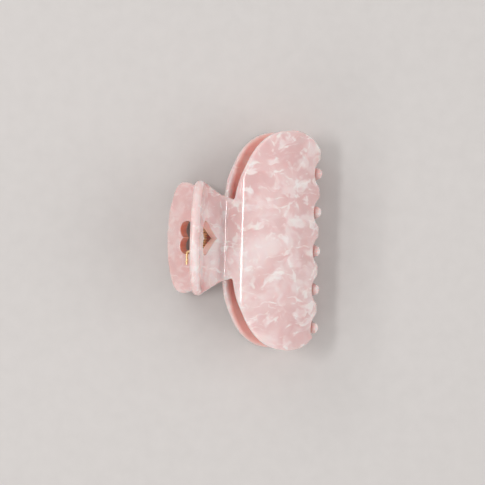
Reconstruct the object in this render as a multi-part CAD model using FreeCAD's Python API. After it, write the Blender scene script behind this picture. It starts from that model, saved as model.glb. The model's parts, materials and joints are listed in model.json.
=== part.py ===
import FreeCAD, Part
import math
import os

# Hair claw clip lying on its side: two equal jaws of bent sheet on one hinge pin, with a torsion spring.
# Millimetres. The clip is drawn in its own frame, hinge axis on Y through the origin, finger tabs towards -X,
# teeth towards +X, upper jaw above Z = 0. It is then tilted until it rests on the lower tab and lower crown.

# Sheet and overall sizes
SHEET = 3.6                   # thickness of the acetate sheet
JAW_LENGTH = 47.0             # hinge axis to the outside of the teeth
HALF_SPAN = 42.4              # half the length of a jaw along the hinge axis
WAIST_HALF = 15.0             # half the width of the neck between tab and jaw
WIDEST_BACK = 13.4            # widest place, back from the outside of the teeth
ROOT_X = 11.3                 # where the jaw's end curve would close
OUTLINE_POWER = 2.5           # squareness of the jaw's end curves
FRONT_ROUND = 13.4            # radius of the end curve in front of the widest place
END_CORNER_BACK = 4.0         # where the end curve turns to the end teeth, back from their outside

# Bend lines of the outer surface
HINGE_ROOM = 5.0              # hinge axis to the inside of the tab
HINGE_ROOM_ANGLE = 57.8       # direction of that nearest point, degrees above +X
TAB_BEND = 18.6               # outer radius of the tab's bend
TAB_END_SLOPE = 66.0          # slope of the tab's straight end, degrees
TAB_STRAIGHT = 7.7            # length of the straight end
VALLEY_SLOPE = 28.0           # slope where the tab runs into the valley, degrees
VALLEY_BEND = 3.0             # outer radius of the valley
FACET_SLOPE = 50.0            # slope of the facet between valley and shoulder, degrees
SHOULDER_BEND = 5.0           # outer radius of the shoulder
CROWN_BACK = 20.0             # highest line of the jaw, back from the outside of the teeth
CROWN_HEIGHT = 13.8           # its height above the hinge plane
BACK_BEND = 55.0              # outer radius from shoulder to crown
FORE_BEND = 25.0              # outer radius in front of the crown
NOSE_BEND = 8.0               # outer radius above the teeth

# Finger tab
TAB_HALF = 21.8               # half the width of the tab at its end
TAB_END_ROUND = 9.4           # half axis of the tab's half-elliptic end, along the tab
NECK_HALF = 16.8              # half the width where the tab runs into the valley
FLANK_REACH = 9.3             # how far from the valley the flanks would reach full width

# Heart cut-out
HEART_LENGTH = 11.6           # tip to lobes, along the middle of the sheet
HEART_LOBE = 3.35             # lobe radius
HEART_LOBE_OFFSET = 3.1       # lobe centre from the middle line
HEART_TIP_SLOPE = 29.5        # slope of the tab at the heart's tip, degrees

# Teeth
TOOTH_COUNT = 5
TOOTH_PITCH = 15.0
TOOTH_TIP = 2.15              # radius of the rounded tip
TIP_DEPTH = 4.0               # tip centre below the hinge plane
TOOTH_ROOT_HALF = 2.9         # half the width of a tooth at its root
GAP_CLEARANCE = 0.95          # crown of a gap above the tip of the opposite tooth

# Hinge
PIN_RADIUS = 1.0
PIN_FIT = 0.05                # radial clearance of the pin in the lugs
LUG = 2.5                     # thickness of a lug
LUG_GAP = 0.2                 # side clearance between neighbouring lugs
LUG_EYE = 3.6                 # outer radius of a lug's eye
LUG_FOOT_SLOPE = 43.0         # where a lug's foot ends on the tab, degrees
LUG_TOE_SLOPE = 10.0          # where it ends in the valley, degrees before the bottom
HEAD_RADIUS = 1.9
HEAD = 0.8                    # thickness of the pin's head
END_FLOAT = 0.1               # side clearance under head and cap
CAP = 1.9                     # length of the cap
CAP_FLOOR = 0.7               # closed end of the cap

# Torsion spring
WIRE = 1.0                    # wire diameter
COIL_TURNS = 9
COIL_PITCH = 1.04
COIL_BORE_CLEARANCE = 0.9     # radial gap between pin and coil
COIL_SIDE_CLEARANCE = 0.4     # between coil and the inner lugs
FOOT_SLOPE = 51.5             # where a spring foot bears on the tab, degrees
FOOT_LENGTH = 4.0             # length of the foot along the hinge axis
FOOT_CLEARANCE = 0.1          # between foot and tab
KNEE_BEND = 1.1               # radius of the bend between leg and foot

DEEP = 80.0                   # length of cutting shapes, larger than the clip
CURVE_STEPS = 12              # points drawn on the end curve behind its widest place
FRONT_STEPS = 4               # and in front of it
NEAR = 0.01                   # how closely an edge is looked for by its place
ON_DIAGONAL = math.sqrt(0.5)  # sine and cosine of the middle of a quarter turn
EYE = (0.0, 0.0)
CROWN_X = JAW_LENGTH - CROWN_BACK
WIDEST_X = JAW_LENGTH - WIDEST_BACK
END_CORNER_X = JAW_LENGTH - END_CORNER_BACK


def vec(x, z, y=0.0):
    return FreeCAD.Vector(x, y, z)


def polar(centre, radius, degrees):
    """Point at a radius and an angle above +X, in the XZ plane."""
    angle = math.radians(degrees)
    return (centre[0] + radius * math.cos(angle), centre[1] + radius * math.sin(angle))


def arc(centre, radius, start, end):
    """Arc edge in the XZ plane from one angle to another, degrees."""
    points = [polar(centre, radius, a) for a in (start, 0.5 * (start + end), end)]
    return Part.Arc(*[vec(*p) for p in points]).toShape()


def line(start, end):
    return Part.LineSegment(vec(*start), vec(*end)).toShape()


# ---- Bend lines -------------------------------------------------------------------------------------------

TAB_CENTRE = polar(EYE, HINGE_ROOM + SHEET + TAB_BEND, HINGE_ROOM_ANGLE)
VALLEY_CENTRE = polar(TAB_CENTRE, TAB_BEND - VALLEY_BEND, 270.0 - VALLEY_SLOPE)
BACK_CENTRE = (CROWN_X, CROWN_HEIGHT - BACK_BEND)
FORE_CENTRE = (CROWN_X, CROWN_HEIGHT - FORE_BEND)


def shoulder_centre():
    """Centre of the arc that touches the facet and the back of the jaw."""
    foot = polar(VALLEY_CENTRE, VALLEY_BEND, 270.0 + FACET_SLOPE)
    start = polar(foot, SHOULDER_BEND, FACET_SLOPE - 90.0)
    dx = start[0] - BACK_CENTRE[0]
    dz = start[1] - BACK_CENTRE[1]
    along = dx * math.cos(math.radians(FACET_SLOPE)) + dz * math.sin(math.radians(FACET_SLOPE))
    short = dx * dx + dz * dz - (BACK_BEND - SHOULDER_BEND) ** 2
    return polar(start, math.sqrt(along * along - short) - along, FACET_SLOPE)


SHOULDER_CENTRE = shoulder_centre()
BACK_START = math.degrees(math.atan2(SHOULDER_CENTRE[1] - BACK_CENTRE[1], SHOULDER_CENTRE[0] - BACK_CENTRE[0]))
NOSE_TURN = math.degrees(math.asin((JAW_LENGTH - CROWN_X - NOSE_BEND) / (FORE_BEND - NOSE_BEND)))
NOSE_CENTRE = polar(FORE_CENTRE, FORE_BEND - NOSE_BEND, 90.0 - NOSE_TURN)


def bend_edges(inset):
    """Edges of the bent sheet's surface at a depth below its outside, from tab end to tooth tip."""
    tab_start = 270.0 - TAB_END_SLOPE
    valley_start = 270.0 - VALLEY_SLOPE
    valley_end = 270.0 + FACET_SLOPE
    bend_top = polar(TAB_CENTRE, TAB_BEND + inset, tab_start)
    tab_end = polar(bend_top, TAB_STRAIGHT, 180.0 - TAB_END_SLOPE)
    facet_low = polar(VALLEY_CENTRE, VALLEY_BEND + inset, valley_end)
    facet_high = polar(SHOULDER_CENTRE, SHOULDER_BEND - inset, 90.0 + FACET_SLOPE)
    nose_end = polar(NOSE_CENTRE, NOSE_BEND - inset, 0.0)
    return [
        line(tab_end, bend_top),
        arc(TAB_CENTRE, TAB_BEND + inset, tab_start, valley_start),
        arc(VALLEY_CENTRE, VALLEY_BEND + inset, valley_start, valley_end),
        line(facet_low, facet_high),
        arc(SHOULDER_CENTRE, SHOULDER_BEND - inset, 90.0 + FACET_SLOPE, BACK_START),
        arc(BACK_CENTRE, BACK_BEND - inset, BACK_START, 90.0),
        arc(FORE_CENTRE, FORE_BEND - inset, 90.0, 90.0 - NOSE_TURN),
        arc(NOSE_CENTRE, NOSE_BEND - inset, 90.0 - NOSE_TURN, 0.0),
        line(nose_end, (nose_end[0], -TIP_DEPTH - 2 * TOOTH_TIP)),
    ]


def ends(edges):
    """First and last point of a run of edges, as (x, z)."""
    first = edges[0].Vertexes[0].Point
    last = edges[-1].Vertexes[-1].Point
    return (first.x, first.z), (last.x, last.z)


def bent_slab():
    """The bent sheet before it is cut to its outline."""
    outer = bend_edges(0.0)
    inner = bend_edges(SHEET)
    outer_start, outer_end = ends(outer)
    inner_start, inner_end = ends(inner)
    edges = outer + inner + [line(outer_start, inner_start), line(outer_end, inner_end)]
    face = Part.Face(Part.Wire(Part.__sortEdges__(edges)))
    face.translate(FreeCAD.Vector(0, -DEEP, 0))
    return face.extrude(FreeCAD.Vector(0, 2 * DEEP, 0))


def outside_of(inset):
    """Everything on the outer side of the sheet's surface at a depth below its outside."""
    edges = bend_edges(inset)
    start, end = ends(edges)
    edges += [
        line(start, (-DEEP, start[1])),
        line((-DEEP, start[1]), (-DEEP, DEEP)),
        line((-DEEP, DEEP), (end[0], DEEP)),
        line((end[0], DEEP), end),
    ]
    face = Part.Face(Part.Wire(Part.__sortEdges__(edges)))
    face.translate(FreeCAD.Vector(0, -DEEP, 0))
    return face.extrude(FreeCAD.Vector(0, 2 * DEEP, 0))


# ---- Outline of a jaw -------------------------------------------------------------------------------------

def end_curve(x):
    """Half width of the jaw at a distance from the hinge axis."""
    if x > WIDEST_X:
        return HALF_SPAN - FRONT_ROUND + math.sqrt(FRONT_ROUND ** 2 - (x - WIDEST_X) ** 2)
    share = (WIDEST_X - x) / (WIDEST_X - ROOT_X)
    return HALF_SPAN * (1.0 - share ** OUTLINE_POWER) ** (1.0 / OUTLINE_POWER)


def waist_x():
    """Where the end curve leaves the neck."""
    share = (1.0 - (WAIST_HALF / HALF_SPAN) ** OUTLINE_POWER) ** (1.0 / OUTLINE_POWER)
    return WIDEST_X - share * (WIDEST_X - ROOT_X)


def plan_prism():
    """Column with the jaw's end curves, seen along Z."""
    start = waist_x()
    turns = [math.pi * i / (2 * CURVE_STEPS) for i in range(CURVE_STEPS)]
    xs = [start + (WIDEST_X - start) * (1 - math.cos(turn)) for turn in turns]
    front = END_CORNER_X - WIDEST_X
    xs += [WIDEST_X + front * i / FRONT_STEPS for i in range(FRONT_STEPS + 1)]
    curve = [FreeCAD.Vector(x, end_curve(x), 0) for x in xs]
    mirrored = [FreeCAD.Vector(p.x, -p.y, 0) for p in curve]
    upper = Part.BSplineCurve()
    upper.interpolate(curve)
    lower = Part.BSplineCurve()
    lower.interpolate(mirrored)
    end_tooth = tooth_places()[0] + TOOTH_ROOT_HALF
    corners = [
        mirrored[0],
        FreeCAD.Vector(VALLEY_CENTRE[0], -NECK_HALF, 0),
        FreeCAD.Vector(VALLEY_CENTRE[0], NECK_HALF, 0),
        curve[0],
    ]
    nose = [
        curve[-1],
        FreeCAD.Vector(JAW_LENGTH, end_tooth, 0),
        FreeCAD.Vector(DEEP, end_tooth, 0),
        FreeCAD.Vector(DEEP, -end_tooth, 0),
        FreeCAD.Vector(JAW_LENGTH, -end_tooth, 0),
        mirrored[-1],
    ]
    wire = Part.Wire(Part.__sortEdges__(
        [upper.toShape(), lower.toShape()] + Part.makePolygon(corners).Edges + Part.makePolygon(nose).Edges))
    face = Part.Face(wire)
    face.translate(FreeCAD.Vector(0, 0, -DEEP))
    return face.extrude(FreeCAD.Vector(0, 0, 2 * DEEP))


def tooth_places():
    """Y of each tooth of the upper jaw. Turned over, they fall midway between themselves."""
    middle = (TOOTH_COUNT - 1) / 2
    return [TOOTH_PITCH / 4 + (middle - i) * TOOTH_PITCH for i in range(TOOTH_COUNT)]


def yz(y, z):
    return FreeCAD.Vector(CROWN_X, y, z)


def tooth_edges(y, root_z):
    """One tooth, from its +Y side round the tip to its -Y side."""
    tip = Part.Arc(yz(y + TOOTH_TIP, -TIP_DEPTH), yz(y, -TIP_DEPTH - TOOTH_TIP), yz(y - TOOTH_TIP, -TIP_DEPTH))
    near_side = Part.LineSegment(yz(y + TOOTH_ROOT_HALF, root_z), yz(y + TOOTH_TIP, -TIP_DEPTH))
    far_side = Part.LineSegment(yz(y - TOOTH_TIP, -TIP_DEPTH), yz(y - TOOTH_ROOT_HALF, root_z))
    return [near_side.toShape(), tip.toShape(), far_side.toShape()]


def front_prism():
    """Column with the teeth and the gaps between them, seen along X."""
    gap_half = TOOTH_PITCH / 2 - TOOTH_ROOT_HALF
    crown = TIP_DEPTH + TOOTH_TIP + GAP_CLEARANCE
    root = crown - gap_half
    side = end_curve(END_CORNER_X)
    places = tooth_places()
    edges = []
    for y in places:
        edges += tooth_edges(y, root)
    for y in places[:-1]:
        middle = y - TOOTH_PITCH / 2
        gap = Part.Arc(yz(y - TOOTH_ROOT_HALF, root), yz(middle, crown), yz(middle - gap_half, root))
        edges.append(gap.toShape())
    last = places[-1] - TOOTH_ROOT_HALF
    inset = gap_half * (1 - ON_DIAGONAL)
    half_gap = Part.Arc(
        yz(last, root), yz(last - inset, root + gap_half * ON_DIAGONAL), yz(last - gap_half, crown))
    edges.append(half_gap.toShape())
    rim = [
        yz(last - gap_half, crown),
        yz(-side, crown),
        yz(-DEEP, crown),
        yz(-DEEP, DEEP),
        yz(DEEP, DEEP),
        yz(DEEP, crown),
        yz(side, crown),
        yz(places[0] + TOOTH_ROOT_HALF, root),
    ]
    edges += Part.makePolygon(rim).Edges
    face = Part.Face(Part.Wire(Part.__sortEdges__(edges)))
    return face.extrude(FreeCAD.Vector(DEEP, 0, 0))


# ---- Finger tab -------------------------------------------------------------------------------------------

MID_BEND = TAB_BEND + SHEET / 2
HEART_TOP_SLOPE = HEART_TIP_SLOPE + math.degrees(HEART_LENGTH / MID_BEND)
HEART_LOOK = 0.5 * (HEART_TIP_SLOPE + HEART_TOP_SLOPE)


class Slant:
    """Flat drawing frame square to the tab at one slope: s runs towards the tab's end, y along the hinge."""

    def __init__(self, slope):
        angle = math.radians(slope)
        self.along = FreeCAD.Vector(-math.cos(angle), 0, math.sin(angle))
        self.normal = FreeCAD.Vector(math.sin(angle), 0, math.cos(angle))

    def s_of(self, point):
        return vec(*point).dot(self.along)

    def at(self, s, y):
        return self.along * s + FreeCAD.Vector(0, y, 0) - self.normal * DEEP

    def column(self, edges):
        face = Part.Face(Part.Wire(Part.__sortEdges__(edges)))
        return face.extrude(self.normal * 2 * DEEP)


def flank_prism():
    """Column with the flanks of the tab, which open out from the neck."""
    slant = Slant(HEART_LOOK)
    neck = slant.s_of(polar(VALLEY_CENTRE, VALLEY_BEND, 270.0))
    widest = slant.s_of(ends(bend_edges(SHEET))[0]) - TAB_END_ROUND
    edges = [
        Part.LineSegment(slant.at(-DEEP, NECK_HALF), slant.at(-DEEP, -NECK_HALF)).toShape(),
        Part.LineSegment(slant.at(DEEP, TAB_HALF), slant.at(DEEP, -TAB_HALF)).toShape(),
    ]
    for side in (1, -1):
        flank = Part.BezierCurve()
        flank.setPoles([
            slant.at(neck, side * NECK_HALF),
            slant.at(neck + FLANK_REACH, side * TAB_HALF),
            slant.at(widest, side * TAB_HALF),
        ])
        edges += [
            flank.toShape(),
            Part.LineSegment(slant.at(-DEEP, side * NECK_HALF), slant.at(neck, side * NECK_HALF)).toShape(),
            Part.LineSegment(slant.at(widest, side * TAB_HALF), slant.at(DEEP, side * TAB_HALF)).toShape(),
        ]
    return slant.column(edges)


def end_prism():
    """Column with the half-elliptic end of the tab."""
    slant = Slant(TAB_END_SLOPE)
    end = slant.s_of(ends(bend_edges(SHEET / 2))[0])
    start = end - TAB_END_ROUND
    centre = slant.at(start, 0)
    across = slant.at(start, TAB_HALF) - centre
    ellipse = Part.Ellipse(centre + across, slant.at(end, 0), centre)
    half = Part.Arc(ellipse, 0, math.pi)
    back = slant.along * (start + DEEP)
    corners = [half.StartPoint, half.StartPoint - back, half.EndPoint - back, half.EndPoint]
    return slant.column([half.toShape()] + Part.makePolygon(corners).Edges)


def heart_column():
    """Heart-shaped cutter, its tip towards the hinge."""
    slant = Slant(HEART_LOOK)
    tip = slant.s_of(polar(TAB_CENTRE, MID_BEND, 270.0 - HEART_TIP_SLOPE))
    top = slant.s_of(polar(TAB_CENTRE, MID_BEND, 270.0 - HEART_TOP_SLOPE))
    lobe = top - HEART_LOBE
    reach = math.hypot(lobe - tip, HEART_LOBE_OFFSET)
    tilt = math.atan2(HEART_LOBE_OFFSET, lobe - tip) + math.asin(HEART_LOBE / reach)
    cleft = lobe + math.sqrt(HEART_LOBE ** 2 - HEART_LOBE_OFFSET ** 2)
    edges = []
    for sign in (1, -1):
        touch_s = lobe - HEART_LOBE * math.sin(tilt)
        touch_y = HEART_LOBE_OFFSET + HEART_LOBE * math.cos(tilt)
        edges.append(Part.LineSegment(slant.at(tip, 0), slant.at(touch_s, sign * touch_y)).toShape())
        edges.append(Part.Arc(
            slant.at(touch_s, sign * touch_y),
            slant.at(top, sign * HEART_LOBE_OFFSET),
            slant.at(cleft, 0)).toShape())
    return slant.column(edges)


def neck_plane_box(side):
    """Half space on one side of the valley's lowest line: -1 for the tab, +1 for the jaw."""
    box = Part.makeBox(DEEP, 2 * DEEP, 2 * DEEP, FreeCAD.Vector(VALLEY_CENTRE[0], -DEEP, -DEEP))
    if side < 0:
        box.translate(FreeCAD.Vector(-DEEP, 0, 0))
    return box


def make_jaw():
    """Upper jaw: finger tab with its heart, neck, domed shell and teeth, one piece of sheet."""
    slab = bent_slab()
    tab = slab.common(neck_plane_box(-1)).common(flank_prism()).common(end_prism()).cut(heart_column())
    shell = slab.common(neck_plane_box(1)).common(plan_prism())
    behind = shell.common(Part.makeBox(DEEP, 2 * DEEP, 2 * DEEP, FreeCAD.Vector(CROWN_X - DEEP, -DEEP, -DEEP)))
    toothed = shell.common(front_prism())
    jaw = tab.fuse([behind, toothed]).removeSplitter()
    return jaw.Solids[0]


# ---- Hinge ------------------------------------------------------------------------------------------------

INNER_LUG_Y = (COIL_TURNS + 0.2) * COIL_PITCH / 2 + WIRE / 2 + COIL_SIDE_CLEARANCE
OUTER_LUG_Y = INNER_LUG_Y + LUG + LUG_GAP
HINGE_HALF = OUTER_LUG_Y + LUG


def tangent_point(point, radius, side):
    """Where a line from a point touches a circle round the hinge axis: side +1 or -1 of the point."""
    away = math.degrees(math.atan2(point[1], point[0]))
    swing = math.degrees(math.acos(radius / math.hypot(*point)))
    return polar(EYE, radius, away + side * swing)


def make_lug(start_y):
    """Lug of the upper jaw: an eye round the pin and a foot that fits the inside of the sheet."""
    buried = SHEET / 2
    heel = polar(TAB_CENTRE, TAB_BEND + buried, 270.0 - LUG_FOOT_SLOPE)
    toe = polar(VALLEY_CENTRE, VALLEY_BEND + buried, 270.0 - LUG_TOE_SLOPE)
    web = [EYE, tangent_point(toe, LUG_EYE, -1), toe, heel, tangent_point(heel, LUG_EYE, 1), EYE]
    face = Part.Face(Part.makePolygon([vec(*p) for p in web]))
    body = face.extrude(FreeCAD.Vector(0, LUG, 0))
    eye = Part.makeCylinder(LUG_EYE, LUG, FreeCAD.Vector(0, 0, 0), FreeCAD.Vector(0, 1, 0))
    bore = Part.makeCylinder(PIN_RADIUS + PIN_FIT, LUG, FreeCAD.Vector(0, 0, 0), FreeCAD.Vector(0, 1, 0))
    lug = body.fuse(eye).cut(bore)
    lug.translate(FreeCAD.Vector(0, start_y, 0))
    return lug.cut(outside_of(SHEET)).removeSplitter().Solids[0]


def rim_at(turned, y):
    """Round edge of a turned piece at a place along the hinge axis."""
    return [e for e in turned.Edges if abs(e.CenterOfMass.y - y) < NEAR][:1]


def make_pin():
    """Hinge pin with its formed head on the +Y side."""
    reach = HINGE_HALF + END_FLOAT
    length = 2 * reach + CAP - CAP_FLOOR
    along = FreeCAD.Vector(0, 1, 0)
    shaft = Part.makeCylinder(PIN_RADIUS, length, FreeCAD.Vector(0, reach - length, 0), along)
    head = Part.makeCylinder(HEAD_RADIUS, HEAD, FreeCAD.Vector(0, reach, 0), along)
    rim = rim_at(head, reach + HEAD)
    return shaft.fuse(head.makeFillet(HEAD / 2, rim)).removeSplitter()


def make_cap():
    """Cap pressed on the pin's -Y end."""
    along = FreeCAD.Vector(0, -1, 0)
    start = FreeCAD.Vector(0, -HINGE_HALF - END_FLOAT, 0)
    cap = Part.makeCylinder(HEAD_RADIUS, CAP, start, along)
    cap = cap.makeFillet(HEAD / 2, rim_at(cap, start.y - CAP))
    return cap.cut(Part.makeCylinder(PIN_RADIUS, CAP - CAP_FLOOR, start, along))


# ---- Torsion spring ---------------------------------------------------------------------------------------

COIL_RADIUS = PIN_RADIUS + COIL_BORE_CLEARANCE + WIRE / 2
FOOT_AT = polar(TAB_CENTRE, TAB_BEND + SHEET + FOOT_CLEARANCE + WIRE / 2, 270.0 - FOOT_SLOPE)


def spring_end(coil_end, outward, side):
    """Leg, bend and foot beyond one end of the coil, in order from the coil outwards."""
    reach = vec(FOOT_AT[0], side * FOOT_AT[1]) - vec(coil_end.x, coil_end.z)
    slope = math.hypot(outward.x, outward.z)
    knee = coil_end + outward * (reach.Length / slope)
    across = FreeCAD.Vector(0, side, 0)
    turn = outward.getAngle(across)
    cut_back = KNEE_BEND * math.tan(turn / 2)
    start = knee - outward * cut_back
    end = knee + across * cut_back
    bisector = (across - outward).normalize()
    middle = knee + bisector * (KNEE_BEND / math.cos(turn / 2) - KNEE_BEND)
    return [
        Part.LineSegment(coil_end, start).toShape(),
        Part.Arc(start, middle, end).toShape(),
        Part.LineSegment(end, end + across * FOOT_LENGTH).toShape(),
    ]


def make_spring():
    """Closed coil on the pin, with one leg to each tab and a foot along the hinge axis on each leg."""
    leave = tangent_point(FOOT_AT, COIL_RADIUS, -1)
    leave_angle = math.degrees(math.atan2(leave[1], leave[0]))
    rise = (COIL_TURNS + 2 * leave_angle / 360.0) * COIL_PITCH
    helix = Part.makeHelix(COIL_PITCH, rise, COIL_RADIUS, 0.0, True)
    # The helix climbs along Z from the +X side: it is laid along the hinge axis, climbing towards +Y.
    helix.rotate(FreeCAD.Vector(0, 0, 0), FreeCAD.Vector(1, 0, 0), -90)
    helix.rotate(FreeCAD.Vector(0, 0, 0), FreeCAD.Vector(0, 1, 0), leave_angle)
    helix.translate(FreeCAD.Vector(0, -rise / 2, 0))
    coil = helix.Edges
    first = coil[0].valueAt(coil[0].FirstParameter)
    last = coil[-1].valueAt(coil[-1].LastParameter)
    into = coil[0].tangentAt(coil[0].FirstParameter)
    out = coil[-1].tangentAt(coil[-1].LastParameter)
    path = Part.Wire(Part.__sortEdges__(spring_end(first, into * -1, -1) + coil + spring_end(last, out, 1)))
    start = path.OrderedVertexes[0].Point
    along = path.OrderedEdges[0].tangentAt(path.OrderedEdges[0].FirstParameter)
    section = Part.Wire(Part.Circle(start, along, WIRE / 2).toShape())
    spring = path.makePipeShell([section], True, False)
    print("spring volume against section times length", spring.Volume, math.pi * WIRE ** 2 / 4 * path.Length)
    return spring


# ---- The clip ---------------------------------------------------------------------------------------------

def turned_over(shape):
    """The same piece on the other jaw: half a turn about the clip's long axis."""
    other = shape.copy()
    other.rotate(FreeCAD.Vector(0, 0, 0), FreeCAD.Vector(1, 0, 0), 180)
    return other


def resting_tilt():
    """Angle between the clip's long axis and the table when it lies on the lower tab and lower crown."""
    corner = ends(bend_edges(0.0))[0]
    dx = FORE_CENTRE[0] - corner[0]
    dz = corner[1] - FORE_CENTRE[1]
    return math.degrees(math.atan2(dz, dx) - math.asin(FORE_BEND / math.hypot(dx, dz)))


def build():
    jaw = make_jaw()
    inner_lug = make_lug(-INNER_LUG_Y - LUG)
    outer_lug = make_lug(OUTER_LUG_Y)
    nodes = {
        "upper_jaw": jaw,
        "upper_inner_lug": inner_lug,
        "upper_outer_lug": outer_lug,
        "lower_jaw": turned_over(jaw),
        "lower_inner_lug": turned_over(inner_lug),
        "lower_outer_lug": turned_over(outer_lug),
        "hinge_pin": make_pin(),
        "pin_cap": make_cap(),
        "torsion_spring": make_spring(),
    }
    tilt = resting_tilt()
    for shape in nodes.values():
        shape.rotate(FreeCAD.Vector(0, 0, 0), FreeCAD.Vector(0, 1, 0), tilt)
    box = Part.makeCompound([nodes["upper_jaw"], nodes["lower_jaw"]]).optimalBoundingBox(False)
    shift = FreeCAD.Vector(-box.Center.x, -box.Center.y, -box.ZMin)
    for name, shape in nodes.items():
        shape.translate(shift)
        shape.exportStep(f"parts/{name}.step")
        print(name, shape.isValid(), len(shape.Solids), round(shape.Volume, 1), shape.BoundBox)
    print("tilt", tilt, "hinge at", shift, "size", box.XLength, box.YLength, box.ZLength)


os.makedirs("parts", exist_ok=True)
build()
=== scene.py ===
"""Claw clip of pearly pink acetate with a gold torsion spring, lying on its side on a pale table.

The two jaws are one part, cut from flat sheet, bent, and turned over for the second. Sizes of the sheet
are in millimetres along the flat blank and along the bend line. Everything is placed in the frame in metres.
"""
import json
import logging
import math
from dataclasses import dataclass, field
from enum import Enum
from typing import Iterable, Sequence

import bmesh
import bpy
import numpy as np
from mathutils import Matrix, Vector
from mathutils.geometry import delaunay_2d_cdt


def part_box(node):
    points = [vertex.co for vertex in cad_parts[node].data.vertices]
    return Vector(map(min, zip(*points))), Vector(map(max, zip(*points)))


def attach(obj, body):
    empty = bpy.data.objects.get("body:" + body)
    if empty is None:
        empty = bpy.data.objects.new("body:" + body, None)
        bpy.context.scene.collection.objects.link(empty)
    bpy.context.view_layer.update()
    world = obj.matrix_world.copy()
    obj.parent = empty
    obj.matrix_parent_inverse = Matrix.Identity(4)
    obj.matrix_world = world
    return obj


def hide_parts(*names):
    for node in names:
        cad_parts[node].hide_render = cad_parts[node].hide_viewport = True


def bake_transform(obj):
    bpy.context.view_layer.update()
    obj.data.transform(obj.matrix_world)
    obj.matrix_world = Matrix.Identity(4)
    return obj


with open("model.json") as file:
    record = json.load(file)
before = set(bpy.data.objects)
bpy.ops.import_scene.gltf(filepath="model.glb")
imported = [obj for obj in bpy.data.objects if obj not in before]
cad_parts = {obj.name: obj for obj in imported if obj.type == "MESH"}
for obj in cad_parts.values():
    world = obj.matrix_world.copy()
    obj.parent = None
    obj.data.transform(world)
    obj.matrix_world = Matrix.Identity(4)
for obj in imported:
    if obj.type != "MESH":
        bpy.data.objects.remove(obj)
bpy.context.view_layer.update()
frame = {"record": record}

MM = 0.001
LOG = logging.getLogger("claw_clip")
PLACE = "sheet_place"   # attribute: place on the uncut sheet, millimetres
PAINTED_LIGHT_AND_DEPTH = "painted_light_and_depth"   # attribute: painted glow and shade on walls and tooth edges or painted rim highlight, painted glow within the cup, depth through the sheet
JOIN = 1e-7             # points nearer than this are one
TOUCHING = 1e-6         # and points of an outline nearer than this, millimetres
MIRRORED = (1, 1, -1)   # to the other face of a flat sheet
SIDE_SHARE = 0.45       # most of a side that a rounding takes
MOST_NOISE = (0.3, 0.7) # limits between which most of a noise lies


class Half(Enum):
    """The two halves of the clip, by the frame's body names."""

    UPPER = "upper_half"
    LOWER = "lower_half"


# ---- Where the clip lies ----------------------------------------------------------------------------------

@dataclass(frozen=True)
class Pose:
    """Place of the clip's own frame: hinge axis on Y, long axis tilted down towards the teeth."""

    hinge: np.ndarray
    along: np.ndarray

    @staticmethod
    def of_frame() -> "Pose":
        """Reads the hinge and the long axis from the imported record.

        Returns:
            The pose of the clip as it lies.
        """
        record = frame["record"]
        hinge = np.array(record["behaviour"]["joints"][0]["pos_m"], dtype=float)
        grip = next(m for m in record["mounts"] if m["name"] == "hair_grip")
        along = np.array(grip["pos_m"], dtype=float) - hinge
        return Pose(hinge, along / np.linalg.norm(along))

    def opening(self) -> np.ndarray:
        """Direction in which the upper jaw opens."""
        return np.cross(self.along, (0.0, 1.0, 0.0))

    def turn(self, vectors: np.ndarray, half: Half = Half.UPPER) -> np.ndarray:
        """Turns directions of the clip's frame into the row frame.

        Args:
            vectors: N by 3 directions, long axis, hinge axis, opening direction.
            half: The lower half is the upper one after half a turn about the long axis.

        Returns:
            N by 3 directions in the row frame.
        """
        flip = 1.0 if half is Half.UPPER else -1.0
        v = np.asarray(vectors, dtype=float) * (1.0, flip, flip)
        return v[:, :1] * self.along + v[:, 1:2] * (0.0, 1.0, 0.0) + v[:, 2:3] * self.opening()

    def put(self, points: np.ndarray, half: Half = Half.UPPER) -> np.ndarray:
        """Places points of the clip's frame in the row frame.

        Args:
            points: N by 3 points, millimetres.
            half: The half that they belong to.

        Returns:
            N by 3 points, metres.
        """
        return self.hinge + MM * self.turn(points, half)


# ---- The bend line ----------------------------------------------------------------------------------------

@dataclass(frozen=True)
class Run:
    """One straight or round run of the sheet's middle surface."""

    start: float
    length: float
    origin: tuple[float, float]
    angle: float
    radius: float = 0.0
    turn: int = 0

    def at(self, s: np.ndarray) -> tuple[np.ndarray, np.ndarray, np.ndarray]:
        """Lays lengths of the bend line on this run.

        Args:
            s: N lengths along the bend line.

        Returns:
            N by 2 points, tangents and outward normals.
        """
        origin = np.array(self.origin)
        if self.turn == 0:
            tangent = np.array((math.cos(self.angle), math.sin(self.angle)))
            points = origin + np.outer(s - self.start, tangent)
            tangents = np.tile(tangent, (len(s), 1))
            return points, tangents, np.stack((-tangents[:, 1], tangents[:, 0]), axis=1)
        a = self.angle + self.turn * (s - self.start) / self.radius
        away = np.stack((np.cos(a), np.sin(a)), axis=1)
        tangents = self.turn * np.stack((-away[:, 1], away[:, 0]), axis=1)
        return origin + self.radius * away, tangents, -self.turn * away


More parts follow.
